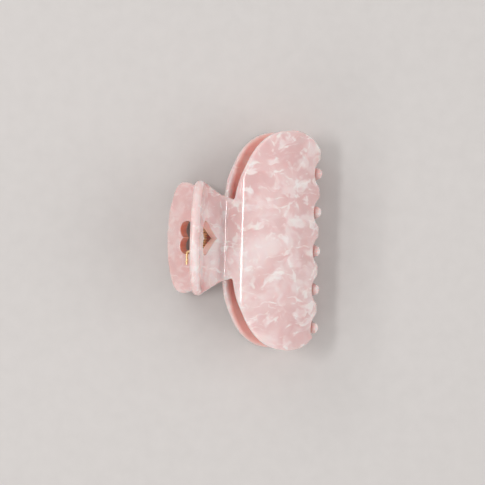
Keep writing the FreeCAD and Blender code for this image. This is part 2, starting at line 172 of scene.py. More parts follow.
@dataclass
class BendLine:
    """Profile of the bent sheet, from the end of the finger tab to the tips of the teeth."""

    sheet: float = 3.6
    jaw_length: float = 47.0
    hinge_room: float = 5.0
    hinge_room_angle: float = 57.8
    tab_bend: float = 18.6
    tab_slope: float = 66.0
    tab_straight: float = 7.7
    valley_slope: float = 28.0
    valley_bend: float = 3.0
    facet_slope: float = 50.0
    shoulder_bend: float = 5.0
    crown_x: float = 27.0
    crown_height: float = 13.8
    back_bend: float = 55.0
    fore_bend: float = 25.0
    nose_bend: float = 8.0
    tooth_room: float = 40.0
    samples: int = 4000
    runs: list[Run] = field(default_factory=list)
    valley: float = 0.0

    def __post_init__(self) -> None:
        """Lays the runs end to end along the middle of the sheet."""
        half = self.sheet / 2
        tab = self._polar((0.0, 0.0), self.hinge_room + self.sheet + self.tab_bend, self.hinge_room_angle)
        valley = self._polar(tab, self.tab_bend - self.valley_bend, 270 - self.valley_slope)
        back = (self.crown_x, self.crown_height - self.back_bend)
        fore = (self.crown_x, self.crown_height - self.fore_bend)
        shoulder = self._shoulder(valley, back)
        back_start = math.degrees(math.atan2(shoulder[1] - back[1], shoulder[0] - back[0]))
        reach = (self.jaw_length - self.crown_x - self.nose_bend) / (self.fore_bend - self.nose_bend)
        nose_turn = math.degrees(math.asin(reach))
        nose = self._polar(fore, self.fore_bend - self.nose_bend, 90 - nose_turn)
        end = self._polar(tab, self.tab_bend + half, 270 - self.tab_slope)
        end = self._polar(end, self.tab_straight, 180 - self.tab_slope)
        facet_low = self._polar(valley, self.valley_bend + half, 270 + self.facet_slope)
        facet_high = self._polar(shoulder, self.shoulder_bend - half, 90 + self.facet_slope)
        self._straight(end, -self.tab_slope, self.tab_straight)
        self._round(tab, self.tab_bend + half, 270 - self.tab_slope, 270 - self.valley_slope)
        self.valley = self.length + math.radians(self.valley_slope) * (self.valley_bend + half)
        self._round(valley, self.valley_bend + half, 270 - self.valley_slope, 270 + self.facet_slope)
        self._straight(facet_low, self.facet_slope, math.dist(facet_low, facet_high))
        self._round(shoulder, self.shoulder_bend - half, 90 + self.facet_slope, back_start)
        self._round(back, self.back_bend - half, back_start, 90)
        self._round(fore, self.fore_bend - half, 90, 90 - nose_turn)
        self._round(nose, self.nose_bend - half, 90 - nose_turn, 0)
        self._straight((nose[0] + self.nose_bend - half, nose[1]), -90, self.tooth_room)

    @property
    def length(self) -> float:
        """Length of the runs laid so far."""
        return self.runs[-1].start + self.runs[-1].length if self.runs else 0.0

    @staticmethod
    def _polar(centre: Sequence[float], radius: float, degrees: float) -> tuple[float, float]:
        """Finds a point at a radius and angle from a centre.

        Args:
            centre: The centre.
            radius: The radius.
            degrees: The angle above the long axis.

        Returns:
            The point.
        """
        a = math.radians(degrees)
        return centre[0] + radius * math.cos(a), centre[1] + radius * math.sin(a)

    def _shoulder(self, valley: Sequence[float], back: Sequence[float]) -> tuple[float, float]:
        """Finds the centre of the shoulder, which touches the facet and the back of the jaw.

        Args:
            valley: Centre of the valley's bend.
            back: Centre of the back's bend.

        Returns:
            The centre of the shoulder's bend.
        """
        foot = self._polar(valley, self.valley_bend, 270 + self.facet_slope)
        start = self._polar(foot, self.shoulder_bend, self.facet_slope - 90)
        dx, dz = start[0] - back[0], start[1] - back[1]
        a = math.radians(self.facet_slope)
        along = dx * math.cos(a) + dz * math.sin(a)
        short = dx * dx + dz * dz - (self.back_bend - self.shoulder_bend) ** 2
        return self._polar(start, math.sqrt(along * along - short) - along, self.facet_slope)

    def _straight(self, origin: Sequence[float], degrees: float, length: float) -> None:
        """Adds a straight run.

        Args:
            origin: Where it starts.
            degrees: Its direction.
            length: Its length.
        """
        self.runs.append(Run(self.length, length, tuple(origin), math.radians(degrees)))

    def _round(self, centre: Sequence[float], radius: float, start: float, end: float) -> None:
        """Adds a round run.

        Args:
            centre: Centre of the bend.
            radius: Radius of the middle surface.
            start: Angle about the centre at which it starts.
            end: Angle at which it ends.
        """
        turn = 1 if end > start else -1
        length = radius * math.radians(abs(end - start))
        self.runs.append(Run(self.length, length, tuple(centre), math.radians(start), radius, turn))

    def at(self, s: np.ndarray) -> tuple[np.ndarray, np.ndarray, np.ndarray]:
        """Middle surface at lengths along the bend line.

        Args:
            s: N lengths from the end of the tab.

        Returns:
            N by 2 points, tangents and outward normals in the plane square to the hinge axis.
        """
        s = np.asarray(s, dtype=float)
        points, tangents, normals = (np.zeros((len(s), 2)) for _ in range(3))
        starts = np.array([run.start for run in self.runs])
        which = np.clip(np.searchsorted(starts, s, side="right") - 1, 0, len(self.runs) - 1)
        for i, run in enumerate(self.runs):
            mask = which == i
            if mask.any():
                points[mask], tangents[mask], normals[mask] = run.at(s[mask])
        return points, tangents, normals

    def length_at_x(self, x: float) -> float:
        """Finds where the jaw is at a distance from the hinge axis.

        Args:
            x: Distance along the long axis.

        Returns:
            The length along the bend line.
        """
        s = np.linspace(self.valley, self.runs[-1].start, self.samples)
        return float(np.interp(x, self.at(s)[0][:, 0], s))

    def length_at_height(self, z: float) -> float:
        """Finds where the outer face of the jaw's front is at a height.

        Args:
            z: Height above the hinge plane.

        Returns:
            The length along the bend line.
        """
        s = np.linspace(self.length_at_x(self.crown_x), self.length, self.samples)
        middle, _, normal = self.at(s)
        return float(np.interp(-z, -(middle + normal * self.sheet / 2)[:, 1], s))


# ---- Curves on the flat blank -----------------------------------------------------------------------------

def ellipse(
        centre: Sequence[float], radii: Sequence[float], start: float, end: float,
        steps: int = 24) -> np.ndarray:
    """Draws an arc of an ellipse.

    Args:
        centre: Its centre.
        radii: Its half axes along s and y.
        start: Angle at which it starts, degrees from +s towards +y.
        end: Angle at which it ends.
        steps: Steps between its points.

    Returns:
        N by 2 points.
    """
    a = np.radians(np.linspace(start, end, steps + 1))
    return np.stack((centre[0] + radii[0] * np.cos(a), centre[1] + radii[1] * np.sin(a)), axis=1)


def bezier(*poles: Sequence[float], steps: int = 24) -> np.ndarray:
    """Draws a Bezier curve.

    Args:
        poles: Its poles.
        steps: Steps between its points.

    Returns:
        N points.
    """
    t = np.linspace(0, 1, steps + 1)[:, None]
    rows = [np.array(p, dtype=float)[None, :] * np.ones_like(t) for p in poles]
    while len(rows) > 1:
        rows = [a * (1 - t) + b * t for a, b in zip(rows, rows[1:])]
    return rows[0]


def closed_loop(parts: Iterable[np.ndarray], spacing: float) -> np.ndarray:
    """Joins runs of points into one loop with even spacing.

    Args:
        parts: Runs of points, in order round the loop.
        spacing: Distance between points of the loop.

    Returns:
        N by 2 points, the last not repeating the first.
    """
    points = np.concatenate(list(parts))
    points = points[np.r_[True, np.linalg.norm(np.diff(points, axis=0), axis=1) > TOUCHING]]
    points = np.vstack((points, points[:1]))
    run = np.r_[0, np.cumsum(np.linalg.norm(np.diff(points, axis=0), axis=1))]
    count = int(run[-1] / spacing)
    want = np.linspace(0, run[-1], count, endpoint=False)
    return np.stack([np.interp(want, run, points[:, i]) for i in (0, 1)], axis=1)


@dataclass
class JawBlank:
    """Flat outline of a jaw: s along the bend line, y along the hinge axis, in millimetres.

    The first tooth, on the +y side, is wider than the others and flows into the end curve. On the other side
    the last gap ends early and runs into the tail of the end curve.
    """

    bend: BendLine
    half_span: float = 42.4
    waist_half: float = 15.0
    widest_x: float = 33.6
    root_x: float = 11.3
    outline_power: float = 2.5
    front_round: float = 13.4
    end_corner_x: float = 43.0
    tab_half: float = 21.8
    tab_end_round: float = 9.4
    neck_half: float = 16.8
    flank_reach: float = 9.8
    notch: float = 1.3
    heart_length: float = 11.6
    heart_lobe: float = 3.35
    heart_lobe_offset: float = 3.1
    heart_tip_slope: float = 29.5
    heart_tip_round: float = 0.25
    heart_tip_lean: float = 0.6
    heart_spacing: float = 0.385
    teeth: int = 5
    pitch: float = 15.0
    tooth_tip: float = 2.15
    tip_depth: float = 4.0
    root_half: float = 2.9
    end_flare: float = 0.75
    gap_clearance: float = 0.95
    corner_pull: float = 1.8
    root_pull: float = 2.5
    last_gap_stop: float = 225.0
    tail_reach: float = 0.5
    tail_bulge: tuple[float, float] = (0.7, -0.5)
    spacing: float = 0.55

    def end_curve(self, x: np.ndarray) -> np.ndarray:
        """Finds the half width of the jaw.

        Args:
            x: Distances from the hinge axis.

        Returns:
            The half width at each distance.
        """
        share = np.clip((self.widest_x - x) / (self.widest_x - self.root_x), 0, 1)
        back = self.half_span * (1 - share ** self.outline_power) ** (1 / self.outline_power)
        beyond = np.clip(x - self.widest_x, 0, None)
        return back - self.front_round + np.sqrt(self.front_round ** 2 - beyond ** 2)

    def waist_x(self) -> float:
        """Where the end curve leaves the neck."""
        share = (1 - (self.waist_half / self.half_span) ** self.outline_power) ** (1 / self.outline_power)
        return self.widest_x - share * (self.widest_x - self.root_x)

    def tooth_places(self) -> list[float]:
        """Place of each tooth along the hinge axis, from +y to -y."""
        middle = (self.teeth - 1) / 2
        return [self.pitch / 4 + (middle - i) * self.pitch for i in range(self.teeth)]

    def _tab_side(self) -> list[np.ndarray]:
        """Draws from the middle of the tab's end to the neck, on the +y side.

        Returns:
            The half-elliptic end and the flank.
        """
        start = self.tab_end_round
        return [
            ellipse((start, 0), (start, self.tab_half), 180, 90, steps=90),
            bezier(
                (start, self.tab_half),
                (self.bend.valley - self.flank_reach, self.tab_half),
                (self.bend.valley, self.neck_half)),
        ]

    def _end_side(self, last_x: float) -> np.ndarray:
        """Draws from the neck round the notch and along the end curve, on the +y side.

        Args:
            last_x: Distance from the hinge axis at which it stops.

        Returns:
            N by 2 points.
        """
        first = self.waist_x()
        xs = first + (last_x - first) * (1 - np.cos(np.linspace(0, math.pi / 2, 60)))
        curve = np.stack((np.interp(xs, *self._x_table()), self.end_curve(xs)), axis=1)
        corner = curve[0]
        neck = np.array((self.bend.valley, self.neck_half))
        back = corner + (neck - corner) * self.notch / np.linalg.norm(neck - corner)
        run = np.linalg.norm(curve - corner, axis=1)
        onward = curve[run > self.notch]
        return np.vstack((bezier(back, corner, onward[0], steps=10), onward))

    def _x_table(self) -> tuple[np.ndarray, np.ndarray]:
        """Pairs distances from the hinge axis with the lengths along the bend line."""
        s = np.linspace(self.bend.valley, self.bend.runs[-1].start, self.bend.samples // 2)
        return self.bend.at(s)[0][:, 0], s

    def _tooth(self, y: float, root: float, outer_half: float) -> list[np.ndarray]:
        """Draws one tooth, from the root on its +y side round the tip.

        Args:
            y: Place of the tooth along the hinge axis.
            root: Length along the bend line at its root.
            outer_half: Half width at the root on the +y side.

        Returns:
            The root's first corner, the rounded tip and the root's second corner.
        """
        tip = self.bend.length_at_height(-self.tip_depth)
        return [
            np.array([(root, y + outer_half)]),
            ellipse((tip, y), (self.tooth_tip, self.tooth_tip), 90, -90),
            np.array([(root, y - self.root_half)]),
        ]

    def loop(self) -> np.ndarray:
        """Draws the outline of the blank, anticlockwise.

        Returns:
            N by 2 points.
        """
        gap_half = self.pitch / 2 - self.root_half
        crown_height = self.tip_depth + self.tooth_tip + self.gap_clearance
        root_height = crown_height - gap_half
        root = self.bend.length_at_height(root_height)
        gap_depth = root - self.bend.length_at_height(crown_height)
        places = self.tooth_places()
        end_half = self.tooth_tip + self.end_flare
        side = self._end_side(self.end_corner_x)
        corner, before = side[-1], side[-2]
        heading = (corner - before) / np.linalg.norm(corner - before)
        flow = bezier(
            corner, corner + heading * self.corner_pull, (root - self.root_pull, places[0] + end_half),
            (root, places[0] + end_half))
        parts = self._tab_side() + [side, flow]
        for y in places:
            parts += self._tooth(y, root, end_half if y == places[0] else self.root_half)
            middle = y - self.pitch / 2
            stop = self.last_gap_stop if y == places[-1] else 270.0
            parts.append(ellipse((root, middle), (gap_depth, gap_half), 90, stop))
        tail = self._end_side(self.end_corner_x + self.tail_reach) * (1, -1)
        gap_end = parts[-1][-1]
        parts.append(bezier(gap_end, (gap_end + tail[-1]) / 2 + self.tail_bulge, tail[-1], steps=8))
        parts.append(tail[::-1])
        parts += [part[::-1] * (1, -1) for part in reversed(self._tab_side())]
        return closed_loop(parts, self.spacing)[::-1]

    def heart(self) -> np.ndarray:
        """Draws the heart cut-out, its tip towards the hinge.

        Returns:
            N by 2 points.
        """
        bend = self.bend
        tip = bend.runs[1].start + math.radians(bend.tab_slope - self.heart_tip_slope) * bend.runs[1].radius
        top = tip - self.heart_length
        lobe = top + self.heart_lobe
        reach = math.hypot(tip - lobe, self.heart_lobe_offset)
        lean = math.degrees(
            math.atan2(self.heart_lobe_offset, tip - lobe) + math.asin(self.heart_lobe / reach))
        cleft = math.degrees(math.acos(self.heart_lobe_offset / self.heart_lobe))
        side = ellipse((lobe, self.heart_lobe_offset), (self.heart_lobe,) * 2, 90 - lean, 270 - cleft)
        tip_pole = (tip - self.heart_tip_round, self.heart_tip_round * self.heart_tip_lean)
        tip_side = bezier((tip, 0), tip_pole, side[0], steps=30)
        other = np.vstack((tip_side, side))[::-1] * (1, -1)
        return closed_loop([tip_side, side, other], self.heart_spacing)


# ---- Cut sheet with rounded edges -------------------------------------------------------------------------

@dataclass
class CutSheet:
    """Sheet cut to closed loops, both faces and the polished rounding between them."""

    loops: list[np.ndarray]
    thick: float
    roundings: list[float]
    grid: float = 0.62
    rings: int = 6
    ring_room: float = 0.985
    grid_room: float = 0.4
    row_rise: float = 0.87
    chunk: int = 4000
    places: np.ndarray = field(default_factory=lambda: np.zeros((0, 3)))
    normals: np.ndarray = field(default_factory=lambda: np.zeros((0, 3)))
    faces: list[tuple[int, ...]] = field(default_factory=list)
    on_loop: list[np.ndarray] = field(default_factory=list)
    on_rounding: np.ndarray = field(default_factory=lambda: np.zeros(0))

    def _nearest(self, points: np.ndarray) -> tuple[np.ndarray, np.ndarray]:
        """Finds how far points are from the edge.

        Args:
            points: N by 2 points.

        Returns:
            The distance of each from the edge, in that edge's roundings, and the direction away from it.
        """
        best = np.full(len(points), np.inf)
        away = np.zeros_like(points)
        for loop, rounding in zip(self.loops, self.roundings):
            for start in range(0, len(points), self.chunk):
                p = points[start:start + self.chunk]
                a, b = loop, np.roll(loop, -1, axis=0)
                ab = b - a
                t = np.einsum("pij,ij->pi", p[:, None, :] - a[None], ab) / np.einsum("ij,ij->i", ab, ab)
                q = a[None] + np.clip(t, 0, 1)[..., None] * ab[None]
                d = np.linalg.norm(p[:, None, :] - q, axis=2)
                k = d.argmin(axis=1)
                rows = np.arange(len(p))
                near, foot = d[rows, k] / rounding, q[rows, k]
                better = near < best[start:start + self.chunk]
                which = np.arange(start, start + len(p))[better]
                best[which] = near[better]
                away[which] = (p - foot)[better] / np.maximum(near[better] * rounding, 1e-9)[:, None]
        return best, away

    def _rounding_at(self, points: np.ndarray) -> np.ndarray:
        """Finds the rounding of the loop that a point is nearest to.

        Args:
            points: N by 2 points.

        Returns:
            The rounding at each.
        """
        near = [np.min([np.hypot(*(points - p).T) for p in loop[::2]], axis=0) / r
                for loop, r in zip(self.loops, self.roundings)]
        return np.array(self.roundings)[np.argmin(near, axis=0)]

    def _inside(self, points: np.ndarray) -> np.ndarray:
        """Tells which points lie on the sheet.

        Args:
            points: N by 2 points.

        Returns:
            True for points within the first loop and outside the others.
        """
        odd = np.zeros(len(points), dtype=bool)
        for loop in self.loops:
            for a, b in zip(loop, np.roll(loop, -1, axis=0)):
                crosses = (a[1] > points[:, 1]) != (b[1] > points[:, 1])
                if crosses.any():
                    x = a[0] + (points[:, 1] - a[1]) / ((b[1] - a[1]) or 1e-12) * (b[0] - a[0])
                    odd ^= crosses & (points[:, 0] < x)
        return odd

    def _loop_normals(self, loop: np.ndarray) -> np.ndarray:
        """Finds the inward directions round a loop; the sheet lies on the left of every loop.

        Args:
            loop: N by 2 points.

        Returns:
            The direction at each.
        """
        run = np.roll(loop, -1, axis=0) - np.roll(loop, 1, axis=0)
        run /= np.linalg.norm(run, axis=1)[:, None]
        return np.stack((-run[:, 1], run[:, 0]), axis=1)

    def _rims(self) -> list[tuple[int, int]]:
        """Pairs the neighbouring points round every loop.

        Returns:
            The numbers of the two points of each pair.
        """
        pairs, first = [], 0
        for loop in self.loops:
            count = len(loop)
            pairs += [(first + i, first + (i + 1) % count) for i in range(count)]
            first += count
        return pairs

    def _face_points(self, inward: np.ndarray) -> np.ndarray:
        """Lays the points of one face: the loops, rings down the rounding, and a grid over the rest.

        Args:
            inward: Inward direction at each point of the loops.

        Returns:
            N by 2 points, those of the loops first.
        """
        edge = np.concatenate(self.loops)
        rounding = np.concatenate([np.full(len(loop), r) for loop, r in zip(self.loops, self.roundings)])
        layers = [edge]
        for angle in np.linspace(0, math.pi / 2, self.rings + 1)[1:]:
            depth = 1 - math.cos(angle)
            ring = edge + inward * (depth * rounding)[:, None]
            near, _ = self._nearest(ring)
            layers.append(ring[self._inside(ring) & (near > depth * self.ring_room)])
        low, high = edge.min(axis=0), edge.max(axis=0)
        rows = enumerate(np.arange(low[1], high[1], self.grid * self.row_rise))
        grid = np.array([
            (x, y) for i, y in rows for x in np.arange(low[0] + (i % 2) * self.grid / 2, high[0], self.grid)])
        grid = grid[self._inside(grid)]
        near, _ = self._nearest(grid)
        layers.append(grid[near > 1 + self.grid * self.grid_room / max(self.roundings)])
        return np.concatenate(layers)

    def _join(self, flat: np.ndarray) -> tuple[np.ndarray, np.ndarray, np.ndarray]:
        """Joins the points of a face into triangles.

        Args:
            flat: N by 2 points, those of the loops first.

        Returns:
            The joined points, the corners of the triangles on the sheet, and the loops' points among them.
        """
        joined, _, triangles, origin, _, _ = delaunay_2d_cdt(
            [Vector(p) for p in flat], self._rims(), [], 0, JOIN)
        points = np.array([tuple(p) for p in joined])
        corners = np.array([tuple(t) for t in triangles])
        number = {old: new for new, olds in enumerate(origin) for old in olds}
        rim = np.array([number[i] for i in range(sum(len(loop) for loop in self.loops))])
        return points, corners[self._inside(points[corners].mean(axis=1))], rim

    def build(self) -> None:
        """Makes one face with its rounding, the other face, and the wall between them."""
        inward = np.concatenate([self._loop_normals(loop) for loop in self.loops])
        points, corners, rim = self._join(self._face_points(inward))
        near, away = self._nearest(points)
        near[rim] = 0
        away[rim] = inward
        lean = np.arccos(np.clip(1 - near, 0, 1))
        radius = self._rounding_at(points)
        top = np.column_stack((points, self.thick / 2 - radius * (1 - np.sin(lean))))
        top_normal = np.column_stack((-away * np.cos(lean)[:, None], np.sin(lean)))
        self.places = np.concatenate((top, top * MIRRORED))
        self.normals = np.concatenate((top_normal, top_normal * MIRRORED))
        # how near each point lies to the outline's rounding; the painted rim highlight follows it
        self.on_rounding = np.tile(np.clip(1 - near, 0, 1) * (radius == self.roundings[0]), 2)
        count, first = len(points), 0
        for loop in self.loops:
            edge = rim[first:first + len(loop)]
            mask = np.zeros(2 * count)
            mask[edge] = 1
            mask[edge + count] = 1
            self.on_loop.append(mask)
            first += len(loop)
        self.faces = [tuple(int(v) for v in t) for t in corners]
        self.faces += [tuple(int(v) + count for v in t[::-1]) for t in corners]
        self.faces += [
            (int(rim[a]), int(rim[a]) + count, int(rim[b]) + count, int(rim[b])) for a, b in self._rims()]


def in_scene(name: str, data: bpy.types.ID) -> bpy.types.Object:
    """Puts a mesh, lamp or camera in the scene.

    Args:
        name: Name of the object.
        data: The mesh, lamp or camera.

    Returns:
        The object.
    """
    obj = bpy.data.objects.new(name, data)
    bpy.context.collection.objects.link(obj)
    return obj


def make_object(
        name: str, points: np.ndarray, faces: Sequence[Sequence[int]], normals: np.ndarray | None = None,
        places: np.ndarray | None = None, shift: tuple[float, float, float] = (0.0, 0.0, 0.0),
        painted_light: np.ndarray | None = None) -> bpy.types.Object:
    """Makes a smooth mesh object at the origin.

    Args:
        name: Name of the piece.
        points: N by 3 places in metres.
        faces: Corner numbers of each face, anticlockwise seen from outside.
        normals: Directions of the true surface at the points, if known.
        places: N by 3 places on the uncut sheet, in millimetres, for patterns that follow it.
        shift: Where in the sheet's pattern the piece is cut from.
        painted_light: N by 2, painted glow and shade on walls and tooth edges, below 0 for the painted
            highlight on the rim, and painted glow within the cup.

    Returns:
        The object, linked to the scene.
    """
    mesh = bpy.data.meshes.new(name)
    mesh.from_pydata([tuple(p) for p in points], [], [tuple(f) for f in faces])
    mesh.polygons.foreach_set("use_smooth", [True] * len(mesh.polygons))
    if places is not None:
        marks = np.zeros((len(places), 2)) if painted_light is None else painted_light
        # the painted glow, shade and highlight ride along with the depth through the sheet
        depth = np.column_stack((marks, places[:, 2]))
        for label, values in ((PLACE, places + np.array(shift)), (PAINTED_LIGHT_AND_DEPTH, depth)):
            layer = mesh.attributes.new(label, "FLOAT_VECTOR", "POINT")
            layer.data.foreach_set("vector", np.asarray(values, dtype=np.float32).ravel())
    mesh.validate()
    if normals is not None:
        mesh.normals_split_custom_set_from_vertices([tuple(n) for n in normals])
    return in_scene(name, mesh)


# ---- The jaws ---------------------------------------------------------------------------------------------

@dataclass
class Jaw:
    """One jaw: finger tab with its heart, neck, domed shell and teeth, all one piece of sheet."""

    half: Half
    blank: JawBlank
    pose: Pose
    rounding: float = 1.6
    heart_rounding: float = 0.35
    pattern_shift: tuple[float, float, float] = (0.0, 0.0, 0.0)
    # painted glow and shade on the heart's cut walls
    wall_glow_shade_tint: float = 0.4
    # painted shade on the tooth edges beyond comb_height
    tooth_edge_shade_tint: float = 0.18
    # painted highlight on the rim's rounding
    rim_highlight: float = 0.38
    comb_height: float = 10.35
    # painted glow on the inner face starts at cup_x and grows over cup_run
    cup_x: float = 9.0
    cup_run: float = 6.0
    stretch_step: float = 0.01
    least_stretch: float = 0.2

    def cut(self) -> CutSheet:
        """Cuts the flat blank and its heart.

        Returns:
            The cut sheet, which both jaws share.
        """
        loops = [self.blank.loop(), self.blank.heart()[::-1]]
        sheet = CutSheet(loops, self.blank.bend.sheet, [self.rounding, self.heart_rounding])
        sheet.build()
        return sheet

    def bend(self, sheet: CutSheet) -> tuple[np.ndarray, np.ndarray]:
        """Lays the flat sheet on the bend line.

        Args:
            sheet: The cut sheet.

        Returns:
            Places in metres and surface directions, in the row frame.
        """
        s, y, n = sheet.places.T
        middle, tangent, normal = self.blank.bend.at(s)
        step = self.stretch_step
        ahead, _, ahead_normal = self.blank.bend.at(s + step)
        behind, _, behind_normal = self.blank.bend.at(s - step)
        stretch = np.einsum(
            "ij,ij->i", (ahead + ahead_normal * n[:, None]) - (behind + behind_normal * n[:, None]),
            tangent) / (2 * step)
        place = middle + normal * n[:, None]
        points = np.column_stack((place[:, 0], y, place[:, 1]))
        gs, gy, gn = sheet.normals.T
        gs = gs / np.clip(stretch, self.least_stretch, None)
        across = tangent * gs[:, None] + normal * gn[:, None]
        normals = np.column_stack((across[:, 0], gy, across[:, 1]))
        normals /= np.linalg.norm(normals, axis=1)[:, None]
        return self.pose.put(points, self.half), self.pose.turn(normals, self.half)

    def painted_light(self, sheet: CutSheet) -> np.ndarray:
        """Marks where glow and shade are painted on the heart's walls and tooth edges, where a highlight is
        painted on the rounded rim, and where glow is painted within the cup.

        Args:
            sheet: The cut sheet.

        Returns:
            N by 2, the painted glow and shade of the walls and tooth edges (below 0 for the painted rim
            highlight) and the painted glow within the cup.
        """
        s = sheet.places[:, 0]
        outline, heart = sheet.on_loop
        comb = self.blank.bend.length_at_height(self.comb_height)
        # painted shade on the tooth edges; elsewhere, below 0, a painted highlight on the rim's rounding
        rim = np.where(s > comb, self.tooth_edge_shade_tint * outline, -self.rim_highlight * sheet.on_rounding)
        # where the painted glow within the cup grows in
        cup = np.clip((s - self.blank.bend.length_at_x(self.cup_x)) / self.cup_run, 0.0, 1.0)
        # painted glow and shade on the heart's walls
        return np.column_stack((self.wall_glow_shade_tint * heart + rim, cup))

    def build(self, sheet: CutSheet, material: bpy.types.Material) -> bpy.types.Object:
        """Makes the jaw and hands it to the frame.

        Args:
            sheet: The cut sheet.
            material: The acetate.

        Returns:
            The jaw.
        """
        points, normals = self.bend(sheet)
        name = self.half.name.lower() + "_jaw"
        jaw = make_object("pearl_" + name, points, sheet.faces, normals, sheet.places, self.pattern_shift,
                          self.painted_light(sheet))
        jaw.data.materials.append(material)
        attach(jaw, self.half.value)
        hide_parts(name)
        return jaw


# ---- The hinge --------------------------------------------------------------------------------------------

def lathe(
        name: str, profile: Sequence[tuple[float, float]], centre: np.ndarray,
        steps: int = 64) -> bpy.types.Object:
    """Turns a closed profile about a line along the hinge axis.

    Args:
        name: Name of the piece.
        profile: Points (radius, y) in metres; both ends lie on the axis.
        centre: A point of the axis.
        steps: Faces round the axis.

    Returns:
        The turned object.
    """
    bm = bmesh.new()
    rows: list[list[bmesh.types.BMVert]] = []
    turn = [2 * math.pi * i / steps for i in range(steps)]
    for radius, y in profile:
        angles = turn if radius > JOIN else turn[:1]
        rows.append([
            bm.verts.new((centre[0] + radius * math.cos(a), y, centre[2] + radius * math.sin(a)))
            for a in angles])
    for low, high in zip(rows, rows[1:]):
        for i in range(steps):
            j = (i + 1) % steps
            ring = [low[i % len(low)], low[j % len(low)], high[j % len(high)], high[i % len(high)]]
            unique = list(dict.fromkeys(ring))
            if len(unique) > 2:
                bm.faces.new(unique)
    bmesh.ops.recalc_face_normals(bm, faces=bm.faces[:])
    for face in bm.faces:
        face.smooth = True
    mesh = bpy.data.meshes.new(name)
    bm.to_mesh(mesh)
    bm.free()
    return in_scene(name, mesh)


def rounded(
        points: Sequence[tuple[float, float]], radius: float, steps: int = 5) -> list[tuple[float, float]]:
    """Rounds the inner corners of an open run of points.

    Args:
        points: The run, with sharp corners.
        radius: How far the rounding reaches from a corner, less on short sides.
        steps: Steps of each rounding.

    Returns:
        The rounded run.
    """
    result = [points[0]]
    for before, corner, after in zip(points, points[1:], points[2:]):
        c = np.array(corner)
        a, b = np.array(before) - c, np.array(after) - c
        reach = min(radius, SIDE_SHARE * np.linalg.norm(a), SIDE_SHARE * np.linalg.norm(b))
        run = bezier(c + a / np.linalg.norm(a) * reach, c, c + b / np.linalg.norm(b) * reach, steps=steps)
        result += [tuple(p) for p in run]
    return result + [points[-1]]


